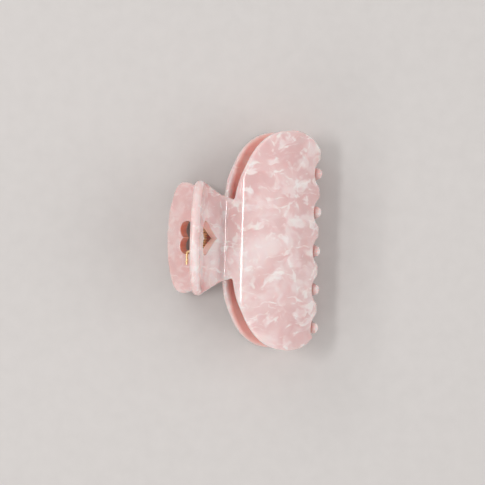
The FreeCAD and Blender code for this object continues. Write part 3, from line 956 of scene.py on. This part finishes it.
@dataclass
class Hinge:
    """Lugs glued inside the tabs, the pin through them and the cap on its end."""

    pose: Pose
    bend: BendLine
    lug: float = 2.5
    eye: float = 3.6
    bore: float = 1.05
    pin: float = 1.0
    head_thick: float = 0.8
    turned_edge: float = 0.35
    edge: float = 0.25
    lug_grid: float = 0.7
    lug_rings: int = 3
    lug_spacing: float = 0.35
    foot_steps: int = 40
    eye_steps: int = 48
    pattern_shift: tuple[float, float, float] = (25.0, 90.0, 40.0)
    cap_floor: float = 0.7
    foot_slope: float = 43.0
    toe_slope: float = 10.0

    def _touch(self, point: np.ndarray, side: int) -> float:
        """Finds where a line from a point touches the eye.

        Args:
            point: The point.
            side: Which of the two such lines, 1 or -1.

        Returns:
            The angle about the hinge axis.
        """
        return math.atan2(point[1], point[0]) + side * math.acos(self.eye / float(np.linalg.norm(point)))

    def lug_loops(self) -> list[np.ndarray]:
        """Draws a lug as seen along the hinge axis: long axis, then opening direction.

        Returns:
            The outline and the bore.
        """
        bend = self.bend
        inner = bend.sheet / 2
        tab = bend.runs[1].start + math.radians(bend.tab_slope - self.foot_slope) * bend.runs[1].radius
        end = bend.valley - math.radians(self.toe_slope) * bend.runs[2].radius
        middle, _, normal = bend.at(np.linspace(tab, end, self.foot_steps))
        foot = middle - normal * inner
        heel, toe = self._touch(foot[0], 1), self._touch(foot[-1], -1)
        eye = np.linspace(heel, toe + 2 * math.pi, self.eye_steps)
        ring = np.stack((self.eye * np.cos(eye), self.eye * np.sin(eye)), axis=1)
        outline = closed_loop([ring, foot[::-1]], self.lug_spacing)
        area = np.sum(outline[:, 0] * np.roll(outline[:, 1], -1) - np.roll(outline[:, 0], -1) * outline[:, 1])
        if area < 0:
            outline = outline[::-1]
        bore = ellipse((0, 0), (self.bore, self.bore), 360, 360 / self.eye_steps, steps=self.eye_steps - 1)
        return [outline, bore]

    def lugs(self, material: bpy.types.Material) -> list[bpy.types.Object]:
        """Makes the four lugs, two on each half.

        Args:
            material: The acetate.

        Returns:
            The lugs.
        """
        sheet = CutSheet(
            self.lug_loops(), self.lug, [self.edge, self.edge], grid=self.lug_grid, rings=self.lug_rings)
        sheet.build()
        made = []
        for half in Half:
            for place in ("inner", "outer"):
                node = f"{half.name.lower()}_{place}_lug"
                low, high = (np.array(c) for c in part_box(node))
                middle = (low[1] + high[1]) / 2 / MM
                flip = 1 if half is Half.UPPER else -1
                u, w, y = sheet.places.T
                points = np.column_stack((u, flip * middle - y, w))
                normals = np.column_stack((sheet.normals[:, 0], -sheet.normals[:, 2], sheet.normals[:, 1]))
                piece = make_object(
                    "pearl_" + node, self.pose.put(points, half), sheet.faces, self.pose.turn(normals, half),
                    np.column_stack((u, w, y)), (self.pattern_shift[0] * flip, *self.pattern_shift[1:]))
                piece.data.materials.append(material)
                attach(piece, half.value)
                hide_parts(node)
                made.append(piece)
        return made

    def pin_and_cap(self, material: bpy.types.Material) -> list[bpy.types.Object]:
        """Turns the headed pin and its domed cap.

        Args:
            material: The gold.

        Returns:
            The pin and the cap.
        """
        centre = self.pose.hinge
        low, high = (np.array(c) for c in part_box("hinge_pin"))
        cap_low, cap_high = (np.array(c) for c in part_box("pin_cap"))
        head_radius = (high[0] - low[0]) / 2
        head_start = high[1] - self.head_thick * MM
        pin = rounded([
            (0.0, low[1]), (self.pin * MM, low[1]), (self.pin * MM, head_start),
            (head_radius, head_start), (head_radius, high[1]), (0.0, high[1])], self.turned_edge * MM)
        cap_radius = (cap_high[0] - cap_low[0]) / 2
        inside = cap_low[1] + self.cap_floor * MM
        cap = rounded([
            (0.0, cap_low[1]), (cap_radius, cap_low[1]), (cap_radius, cap_high[1]),
            (self.pin * MM, cap_high[1]), (self.pin * MM, inside), (0.0, inside)], self.turned_edge * MM)
        made = []
        for name, node, profile in (("gold_pin", "hinge_pin", pin), ("gold_cap", "pin_cap", cap)):
            piece = lathe(name, profile, centre)
            piece.data.materials.append(material)
            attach(piece, Half.LOWER.value)
            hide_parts(node)
            made.append(piece)
        return made


# ---- The spring -------------------------------------------------------------------------------------------

@dataclass
class TorsionSpring:
    """Closed coil on the pin, a leg to each tab and a foot along the hinge axis on each leg."""

    pose: Pose
    bend: BendLine
    wire: float = 1.0
    turns: int = 9
    pitch: float = 1.04
    coil_radius: float = 2.4
    foot_slope: float = 51.5
    foot_clearance: float = 0.1
    foot_length: float = 4.0
    knee: float = 1.1
    knee_ease: float = 0.03
    leg_steps: int = 12
    foot_steps: int = 8
    steps_a_turn: int = 48
    section: int = 14

    def centreline(self) -> np.ndarray:
        """Draws the middle line of the wire, from the lower foot to the upper foot.

        Returns:
            N by 3 points in the clip's own frame, millimetres.
        """
        inner = self.bend.sheet / 2
        tab = self.bend.runs[1]
        s = tab.start + math.radians(self.bend.tab_slope - self.foot_slope) * tab.radius
        middle, _, normal = self.bend.at(np.array([s]))
        foot = (middle - normal * (inner + self.foot_clearance + self.wire / 2))[0]
        leave = math.atan2(foot[1], foot[0]) - math.acos(self.coil_radius / float(np.linalg.norm(foot)))
        rounds = self.turns + 2 * leave / (2 * math.pi)
        rise = rounds * self.pitch
        count = int(self.steps_a_turn * rounds)
        t = np.linspace(0, 1, count + 1)
        angle = -leave + 2 * math.pi * rounds * t
        coil = np.stack((
            self.coil_radius * np.cos(angle), -rise / 2 + rise * t, self.coil_radius * np.sin(angle)),
            axis=1)
        upper = self._end(coil[-1], coil[-1] - coil[-2], np.array((foot[0], 0.0, foot[1])), 1)
        lower = self._end(coil[0], coil[0] - coil[1], np.array((foot[0], 0.0, -foot[1])), -1)
        return np.vstack((lower[::-1], coil, upper))

    def _end(self, start: np.ndarray, out: np.ndarray, foot: np.ndarray, side: int) -> np.ndarray:
        """Draws the leg, bend and foot beyond one end of the coil.

        Args:
            start: Where the coil ends.
            out: Direction in which the wire leaves it.
            foot: Where the foot bears on the tab.
            side: 1 if the foot points along +y, -1 if along -y.

        Returns:
            N by 3 points, from the coil outwards.
        """
        out = out / np.linalg.norm(out)
        reach = math.dist((start[0], start[2]), (foot[0], foot[2])) / math.hypot(out[0], out[2])
        corner = start + out * reach
        across = np.array((0.0, side, 0.0))
        back = self.knee * math.tan(math.acos(float(out @ across)) / 2)
        a, b = corner - out * back, corner + across * back
        leg = np.linspace(start, a, self.leg_steps)[1:]
        pole = corner * (1 - self.knee_ease) + (a + b) * self.knee_ease / 2
        bend = bezier(a, pole, b, steps=10)
        foot_run = np.linspace(b, b + across * self.foot_length, self.foot_steps)[1:]
        return np.vstack((leg, bend[1:], foot_run))

    def tree(self) -> bpy.types.NodeTree:
        """Lays out the Geometry Nodes that draw wire along a line of edges.

        Returns:
            The tree, whose inputs are the wire's radius, the steps round it and its finish.
        """
        tree = bpy.data.node_groups.new("wire_along_line", "GeometryNodeTree")
        for name, way, kind in (
                ("Geometry", "INPUT", "Geometry"), ("Wire Radius", "INPUT", "Float"),
                ("Section Steps", "INPUT", "Int"), ("Finish", "INPUT", "Material"),
                ("Geometry", "OUTPUT", "Geometry")):
            tree.interface.new_socket(name, in_out=way, socket_type="NodeSocket" + kind)
        new = tree.nodes.new
        start, end = new("NodeGroupInput"), new("NodeGroupOutput")
        curve, section, sweep, smooth, real, finish = (new("GeometryNode" + kind) for kind in (
            "MeshToCurve", "CurvePrimitiveCircle", "CurveToMesh", "SetShadeSmooth", "RealizeInstances",
            "SetMaterial"))
        sweep.inputs["Fill Caps"].default_value = True
        for node, output, to, socket in (
                (start, "Geometry", curve, 0),
                (start, "Wire Radius", section, "Radius"),
                (start, "Section Steps", section, "Resolution"),
                (curve, 0, sweep, "Curve"),
                (section, 0, sweep, "Profile Curve"),
                (sweep, 0, smooth, 0),
                (smooth, 0, real, 0),
                (real, 0, finish, "Geometry"),
                (start, "Finish", finish, "Material"),
                (finish, 0, end, 0)):
            tree.links.new(node.outputs[output], to.inputs[socket])
        return tree

    def build(self, material: bpy.types.Material) -> bpy.types.Object:
        """Sweeps the wire and bakes it.

        Args:
            material: The gold.

        Returns:
            The spring.
        """
        points = self.pose.put(self.centreline())
        mesh = bpy.data.meshes.new("spring_line")
        mesh.from_pydata([tuple(p) for p in points], [(i, i + 1) for i in range(len(points) - 1)], [])
        line = in_scene("spring_line", mesh)
        modifier = line.modifiers.new("wire", "NODES")
        modifier.node_group = self.tree()
        values = {"Wire Radius": self.wire / 2 * MM, "Section Steps": self.section, "Finish": material}
        for item in modifier.node_group.interface.items_tree:
            if item.item_type == "SOCKET" and item.in_out == "INPUT" and item.name in values:
                modifier[item.identifier] = values[item.name]
        graph = bpy.context.evaluated_depsgraph_get()
        baked = bpy.data.meshes.new_from_object(line.evaluated_get(graph))
        bpy.data.objects.remove(line)
        baked.name = "gold_spring"
        spring = in_scene("gold_spring", baked)
        self._close(spring)
        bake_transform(spring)
        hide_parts("torsion_spring")
        return spring

    def _close(self, spring: bpy.types.Object) -> None:
        """Merges the end faces with the wire and turns the faces outwards.

        Args:
            spring: The baked spring.
        """
        bm = bmesh.new()
        bm.from_mesh(spring.data)
        bmesh.ops.remove_doubles(bm, verts=bm.verts[:], dist=JOIN)
        bmesh.ops.recalc_face_normals(bm, faces=bm.faces[:])
        for face in bm.faces:
            face.smooth = len(face.verts) == 4
        bm.to_mesh(spring.data)
        bm.free()


# ---- Finishes ---------------------------------------------------------------------------------------------

def linear(code: str) -> tuple[float, float, float, float]:
    """Reads a colour code.

    Args:
        code: Six hexadecimal digits.

    Returns:
        The linear colour, with full alpha.
    """
    parts = [int(code[i:i + 2], 16) / 255 for i in (0, 2, 4)]
    r, g, b = (c / 12.92 if c <= 0.04045 else ((c + 0.055) / 1.055) ** 2.4 for c in parts)
    return r, g, b, 1.0


class Nodes:
    """Short way to lay out a material's nodes."""

    def __init__(self, name: str) -> None:
        """Starts a material with its surface shader.

        Args:
            name: Name of the material.
        """
        self.material = bpy.data.materials.new(name)
        self.material.use_nodes = True
        self.tree = self.material.node_tree
        self.shader = self.tree.nodes["Principled BSDF"]

    def add(self, kind: str, settings: dict | None = None, **sockets: object) -> bpy.types.Node:
        """Adds a node.

        Args:
            kind: Node type, without the ShaderNode prefix.
            settings: Properties of the node.
            sockets: Input names with spaces as underscores, and a value or an output to link.

        Returns:
            The new node.
        """
        node = self.tree.nodes.new("ShaderNode" + kind)
        for key, value in (settings or {}).items():
            setattr(node, key, value)
        for key, value in sockets.items():
            self.feed(node.inputs[key.replace("_", " ")], value)
        return node

    def feed(self, socket: bpy.types.NodeSocket, value: object) -> None:
        """Sets a socket, or links an output to it.

        Args:
            socket: The input socket.
            value: A value or an output.
        """
        if isinstance(value, bpy.types.NodeSocket):
            self.tree.links.new(value, socket)
        else:
            socket.default_value = value

    def ramp(self, factor: bpy.types.NodeSocket, stops: Sequence[tuple[float, str]]) -> bpy.types.NodeSocket:
        """Adds a colour ramp.

        Args:
            factor: The output that runs along it.
            stops: Position and colour code of each stop.

        Returns:
            Its colour.
        """
        node = self.add("ValToRGB", Fac=factor)
        bar = node.color_ramp.elements
        while len(bar) < len(stops):
            bar.new(0.5)
        for element, (place, code) in zip(bar, stops):
            element.position = place
            element.color = linear(code)
        return node.outputs["Color"]

    def between(self, value: bpy.types.NodeSocket, limits: tuple[float, float],
                to: tuple[float, float] = (0.0, 1.0)) -> bpy.types.NodeSocket:
        """Adds a smooth step.

        Args:
            value: The output that it reads.
            limits: Where the step starts and ends.
            to: The results there.

        Returns:
            The result.
        """
        node = self.add(
            "MapRange", {"interpolation_type": "SMOOTHSTEP"}, Value=value, From_Min=limits[0],
            From_Max=limits[1], To_Min=to[0], To_Max=to[1])
        return node.outputs["Result"]

    def times(self, a: bpy.types.NodeSocket, b: bpy.types.NodeSocket) -> bpy.types.NodeSocket:
        """Multiplies two outputs.

        Args:
            a: The first.
            b: The second.

        Returns:
            Their product.
        """
        node = self.add("Math", {"operation": "MULTIPLY"})
        for socket, value in zip(node.inputs, (a, b)):
            self.feed(socket, value)
        return node.outputs[0]

    def mix(self, factor: object, a: object, b: object) -> bpy.types.NodeSocket:
        """Mixes two colours.

        Args:
            factor: Share of the second.
            a: The first colour.
            b: The second colour.

        Returns:
            The mixed colour.
        """
        node = self.tree.nodes.new("ShaderNodeMix")
        node.data_type = "RGBA"
        for socket, value in ((node.inputs[0], factor), (node.inputs[6], a), (node.inputs[7], b)):
            self.feed(socket, value)
        return node.outputs[2]


@dataclass(frozen=True)
class Blot:
    """Noise of one kind of rounded mark: marks a millimetre, finer detail, and how far it curls."""

    scale: float
    detail: float = 2.0
    curl: float = 0.5


@dataclass(frozen=True)
class PearlAcetate:
    """Polished pink acetate with pearly clouds, brush-like streaks and a few shards stirred through it.

    Depths through the sheet run from half its thickness at the outer face to minus that at the inner. Painted
    shade on the inner face, painted glow within the cup and on the cut walls, and a painted highlight on the
    rounded rim are mixed into its colour.
    """

    deep: str = "e5c0be"
    body: str = "ebcdcb"
    cloud: str = "f3e1df"
    # pale streaks of the stock; also the colour of the painted rim highlight
    streak: str = "fbf5f2"
    # painted shade on the inner face
    inner: str = "d6a39e"
    # painted glow on the inner face within the cup
    glow: str = "fba893"
    # painted glow and shade on the cut walls and tooth edges
    wall: str = "f6aa92"
    stir: tuple[float, float, float] = (8.0, 8.0, 4.8)
    stir_scale: float = 0.10
    drift: Blot = Blot(0.08, 3.0, 0.4)
    drift_stops: tuple[float, float, float] = (0.36, 0.52, 0.66)
    clouds: Blot = Blot(0.17, 1.6)
    cloud_edge: tuple[float, float] = (0.50, 0.68)
    cloud_strength: float = 0.85
    patches: Blot = Blot(0.27)
    patch_edge: tuple[float, float] = (0.54, 0.70)
    patch_strength: float = 0.7
    brushes: tuple[tuple[float, float], ...] = ((10.0, 0.61), (-55.0, 0.62))
    brush_size: tuple[float, float, float] = (0.10, 0.55, 0.2)
    brush_fade: float = 0.12
    brush_strength: float = 0.8
    shard_turn: float = 35.0
    shard_size: tuple[float, float, float] = (0.11, 0.24, 0.2)
    shard_edge: tuple[float, float] = (0.55, 0.32)
    shard_share: tuple[float, float] = (0.72, 0.9)
    shard_strength: float = 0.6
    # depths over which the painted shade and painted glow grow in, and their strength
    inner_shade_depth: tuple[float, float] = (1.1, -1.5)
    glow_depth: tuple[float, float] = (-0.4, -1.7)
    inner_shade_glow_strength: float = 0.42
    # strength of the painted rim highlight
    rim_highlight_strength: float = 0.9
    roughness: tuple[float, float] = (0.14, 0.22)
    scatter: float = 0.7
    scatter_reach: tuple[float, float, float] = (1.0, 0.45, 0.38)
    scatter_depth: float = 0.003
    ior: float = 1.48
    polish: float = 0.8
    polish_roughness: float = 0.03
    ripple_scale: float = 0.16
    ripple: float = 0.4
    ripple_depth: float = 0.0006

    def _stirred(self, n: Nodes, place: bpy.types.NodeSocket) -> bpy.types.NodeSocket:
        """Pushes places on the sheet about, as a stirred block of acetate is.

        Args:
            n: The material's nodes.
            place: Places on the sheet.

        Returns:
            The stirred places.
        """
        push = n.add("TexNoise", Vector=place, Scale=self.stir_scale, Detail=3.0)
        centred = n.add("VectorMath", {"operation": "SUBTRACT"})
        n.feed(centred.inputs[0], push.outputs["Color"])
        centred.inputs[1].default_value = (0.5, 0.5, 0.5)
        moved = n.add("VectorMath", {"operation": "MULTIPLY_ADD"})
        n.feed(moved.inputs[0], centred.outputs[0])
        moved.inputs[1].default_value = self.stir
        n.feed(moved.inputs[2], place)
        return moved.outputs[0]

    def _turned(
            self, n: Nodes, place: bpy.types.NodeSocket, angle: float,
            size: tuple[float, float, float]) -> bpy.types.NodeSocket:
        """Turns places in the plane of the sheet and stretches them, for marks with a direction.

        Args:
            n: The material's nodes.
            place: Places on the sheet.
            angle: The turn, degrees.
            size: Marks a millimetre along, across and through.

        Returns:
            The turned places.
        """
        node = n.add("Mapping", Vector=place, Rotation=(0.0, 0.0, math.radians(angle)), Scale=size)
        return node.outputs["Vector"]

    def _noise(self, n: Nodes, place: bpy.types.NodeSocket, blot: Blot) -> bpy.types.NodeSocket:
        """Adds the noise of a kind of mark.

        Args:
            n: The material's nodes.
            place: Places on the sheet.
            blot: The kind of mark.

        Returns:
            The noise.
        """
        noise = n.add(
            "TexNoise", Vector=place, Scale=blot.scale, Detail=blot.detail, Distortion=blot.curl)
        return noise.outputs["Fac"]

    def _stock(
            self, n: Nodes, place: bpy.types.NodeSocket,
            cloud: bpy.types.NodeSocket) -> bpy.types.NodeSocket:
        """Colours the sheet as it is before it is cut: drifts, clouds, patches, brush streaks and shards.

        Args:
            n: The material's nodes.
            place: Stirred places.
            cloud: The noise of the clouds.

        Returns:
            The colour.
        """
        pale = linear(self.streak)
        colour = n.ramp(self._noise(n, place, self.drift), tuple(
            zip(self.drift_stops, (self.deep, self.body, self.cloud))))
        shown = n.between(cloud, self.cloud_edge, (0.0, self.cloud_strength))
        colour = n.mix(shown, colour, linear(self.cloud))
        patch = self._noise(n, place, self.patches)
        colour = n.mix(n.between(patch, self.patch_edge, (0.0, self.patch_strength)), colour, pale)
        for angle, low in self.brushes:
            along = self._turned(n, place, angle, self.brush_size)
            brush = n.add("TexNoise", Vector=along, Scale=1.0, Detail=3.0, Roughness=0.5).outputs["Fac"]
            shown = n.between(brush, (low, low + self.brush_fade), (0.0, self.brush_strength))
            colour = n.mix(shown, colour, pale)
        along = self._turned(n, place, self.shard_turn, self.shard_size)
        shards = n.add("TexVoronoi", {"feature": "F1"}, Vector=along, Scale=1.0)
        tone = n.add("SeparateColor", Color=shards.outputs["Color"]).outputs["Red"]
        body = n.between(shards.outputs["Distance"], self.shard_edge)
        chosen = n.between(tone, self.shard_share, (0.0, self.shard_strength))
        return n.mix(n.times(chosen, body), colour, pale)

    def _lit_through(self, n: Nodes, colour: bpy.types.NodeSocket) -> bpy.types.NodeSocket:
        """Paints shade on the inner face, glow within the cup, glow and shade on the cut walls and tooth
        edges, and a highlight on the rounded rim.

        Args:
            n: The material's nodes.
            colour: Colour of the stock.

        Returns:
            The colour.
        """
        depth = n.add("SeparateXYZ", Vector=n.add("Attribute", {"attribute_name": PAINTED_LIGHT_AND_DEPTH}).outputs["Vector"])
        strength = (0.0, self.inner_shade_glow_strength)
        # painted shade on the inner face
        colour = n.mix(n.between(depth.outputs["Z"], self.inner_shade_depth, strength), colour, linear(self.inner))
        # painted glow on the inner face within the cup
        warm = n.times(depth.outputs["Y"], n.between(depth.outputs["Z"], self.glow_depth, strength))
        colour = n.mix(warm, colour, linear(self.glow))
        # painted glow and shade on the cut walls and tooth edges
        colour = n.mix(depth.outputs["X"], colour, linear(self.wall))
        # painted highlight on the rim's rounding, in the pale streak colour
        pale = n.between(depth.outputs["X"], (0.0, -1.0), (0.0, self.rim_highlight_strength))
        return n.mix(pale, colour, linear(self.streak))

    def make(self) -> bpy.types.Material:
        """Builds the material.

        Returns:
            The acetate.
        """
        n = Nodes("pearl_acetate")
        place = n.add("Attribute", {"attribute_name": PLACE}).outputs["Vector"]
        stirred = self._stirred(n, place)
        cloud = self._noise(n, stirred, self.clouds)
        ripple = n.add("TexNoise", Vector=place, Scale=self.ripple_scale, Detail=2.0).outputs["Fac"]
        bump = n.add("Bump", Strength=self.ripple, Distance=self.ripple_depth, Height=ripple)
        for name, value in (
                ("Base Color", self._lit_through(n, self._stock(n, stirred, cloud))),
                ("Roughness", n.between(cloud, MOST_NOISE, self.roughness)),
                ("Subsurface Weight", self.scatter),
                ("Subsurface Radius", self.scatter_reach),
                ("Subsurface Scale", self.scatter_depth),
                ("IOR", self.ior),
                ("Coat Weight", self.polish),
                ("Coat Roughness", self.polish_roughness),
                ("Normal", bump.outputs["Normal"]),
                ("Coat Normal", bump.outputs["Normal"])):
            n.feed(n.shader.inputs[name], value)
        return n.material


@dataclass(frozen=True)
class GoldWire:
    """Gold-plated spring wire, bright with a faint drawn streak."""

    colour: str = "ffe2b4"
    worn: str = "f3c68c"
    roughness: tuple[float, float] = (0.22, 0.32)
    metal: float = 0.55
    grain_scale: float = 900.0
    patch_scale: float = 260.0
    grain: float = 0.08
    grain_depth: float = 0.0001

    def make(self) -> bpy.types.Material:
        """Builds the material.

        Returns:
            The gold.
        """
        n = Nodes("gold_wire")
        place = n.add("TexCoord").outputs["Object"]
        fine = n.add("TexNoise", Vector=place, Scale=self.grain_scale, Detail=3.0).outputs["Fac"]
        patch = n.add("TexNoise", Vector=place, Scale=self.patch_scale, Detail=2.0).outputs["Fac"]
        bump = n.add("Bump", Strength=self.grain, Distance=self.grain_depth, Height=fine)
        for name, value in (
                ("Base Color", n.ramp(patch, ((0.35, self.worn), (0.6, self.colour)))),
                ("Roughness", n.between(fine, MOST_NOISE, self.roughness)),
                ("Metallic", self.metal),
                ("Normal", bump.outputs["Normal"])):
            n.feed(n.shader.inputs[name], value)
        return n.material


@dataclass(frozen=True)
class TableTop:
    """Plain matt table, pale warm grey."""

    colour: str = "d7d2cf"
    shade: str = "d4cfcc"
    size: float = 3.0
    grain_scale: float = 180.0
    roughness: float = 0.7
    sheen: float = 0.3

    def make(self) -> bpy.types.Object:
        """Lays the table under the clip.

        Returns:
            The table.
        """
        n = Nodes("table_top")
        place = n.add("TexCoord").outputs["Object"]
        grain = n.add("TexNoise", Vector=place, Scale=self.grain_scale, Detail=4.0).outputs["Fac"]
        for name, value in (
                ("Base Color", n.ramp(grain, tuple(zip(MOST_NOISE, (self.shade, self.colour))))),
                ("Roughness", self.roughness),
                ("Specular IOR Level", self.sheen)):
            n.feed(n.shader.inputs[name], value)
        mesh = bpy.data.meshes.new("table_top")
        h = self.size / 2
        mesh.from_pydata([(-h, -h, 0), (h, -h, 0), (h, h, 0), (-h, h, 0)], [], [(0, 1, 2, 3)])
        mesh.materials.append(n.material)
        table = in_scene("table_top", mesh)
        return table


# ---- Studio -----------------------------------------------------------------------------------------------

@dataclass(frozen=True)
class Lamp:
    """Rectangular soft lamp that faces the clip: place, width and height in metres, power in watts.

    A polished surface mirrors the lamp, unless it is there only to fill the shade.
    """

    name: str
    at: tuple[float, float, float]
    size: tuple[float, float]
    power: float
    mirrored: bool = True

    def hang(self, target: Vector) -> None:
        """Hangs the lamp.

        Args:
            target: The point that it faces.
        """
        light = bpy.data.lights.new(self.name, "AREA")
        light.shape = "RECTANGLE"
        light.size, light.size_y = self.size
        light.energy = self.power
        obj = in_scene(self.name, light)
        obj.visible_glossy = self.mirrored
        obj.location = self.at
        obj.rotation_euler = (target - Vector(self.at)).to_track_quat("-Z", "Y").to_euler()


@dataclass(frozen=True)
class Studio:
    """Soft lamps to the left and above, a fill lamp on the right, a pale room, and the camera above."""

    lamps: tuple[Lamp, ...] = (
        Lamp("window_lamp", (-0.72, 0.1, 1.3), (0.42, 0.20), 5.0),
        Lamp("sill_lamp", (-1.15, 0.0, 0.82), (0.6, 0.08), 1.5),
        Lamp("far_lamp", (-0.85, 0.95, 0.75), (0.9, 0.30), 3.2),
        Lamp("near_lamp", (-0.85, -0.95, 0.75), (0.9, 0.30), 2.8),
        Lamp("soft_lamp", (1.2, 0.0, 1.0), (1.4, 1.0), 8.6, mirrored=False))
    target_height: float = 0.02
    room_light: float = 0.44
    camera_at: tuple[float, float] = (-0.00022, -0.001275)
    camera_height: float = 1.02051
    roll: float = 1.6
    lens: float = 192.3
    sensor: float = 36.0

    def light(self) -> None:
        """Hangs the lamps and lights the room."""
        for lamp in self.lamps:
            lamp.hang(Vector((0, 0, self.target_height)))
        world = bpy.data.worlds.new("pale_room")
        world.use_nodes = True
        background = world.node_tree.nodes["Background"]
        background.inputs["Color"].default_value = (1.0, 1.0, 1.0, 1.0)
        background.inputs["Strength"].default_value = self.room_light
        bpy.context.scene.world = world

    def camera(self) -> None:
        """Hangs the camera over the clip."""
        data = bpy.data.cameras.new("camera")
        data.lens = self.lens
        data.sensor_width = self.sensor
        camera = in_scene("camera", data)
        camera.location = (*self.camera_at, self.camera_height)
        camera.rotation_euler = (0, 0, math.radians(self.roll))
        bpy.context.scene.camera = camera


# ---- The clip ---------------------------------------------------------------------------------------------

@dataclass
class ClawClip:
    """The whole clip: two jaws, their lugs, pin, cap and spring."""

    pose: Pose
    bend: BendLine = field(default_factory=BendLine)
    lower_shift: tuple[float, float, float] = (150.0, 60.0, 30.0)
    # deeper painted glow and shade on the lower half's heart walls
    lower_wall_glow_shade_tint: float = 0.92

    def build(self) -> list[bpy.types.Object]:
        """Builds and dresses every piece.

        Returns:
            The pieces.
        """
        pearl, gold = PearlAcetate().make(), GoldWire().make()
        blank = JawBlank(self.bend)
        upper = Jaw(Half.UPPER, blank, self.pose)
        lower = Jaw(
            Half.LOWER, blank, self.pose, pattern_shift=self.lower_shift, wall_glow_shade_tint=self.lower_wall_glow_shade_tint)
        sheet = upper.cut()
        hinge = Hinge(self.pose, self.bend)
        return [
            upper.build(sheet, pearl), lower.build(sheet, pearl),
            *hinge.lugs(pearl), *hinge.pin_and_cap(gold),
            TorsionSpring(self.pose, self.bend).build(gold)]


def main() -> None:
    """Builds the clip, the table, the lamps and the camera."""
    logging.basicConfig(level=logging.INFO, format="%(name)s: %(message)s")
    for piece in ClawClip(Pose.of_frame()).build():
        LOG.info("%s: %d faces", piece.name, len(piece.data.polygons))
    TableTop().make()
    studio = Studio()
    studio.light()
    studio.camera()
    bpy.context.scene.view_settings.view_transform = "Standard"


if __name__ == "__main__":
    main()
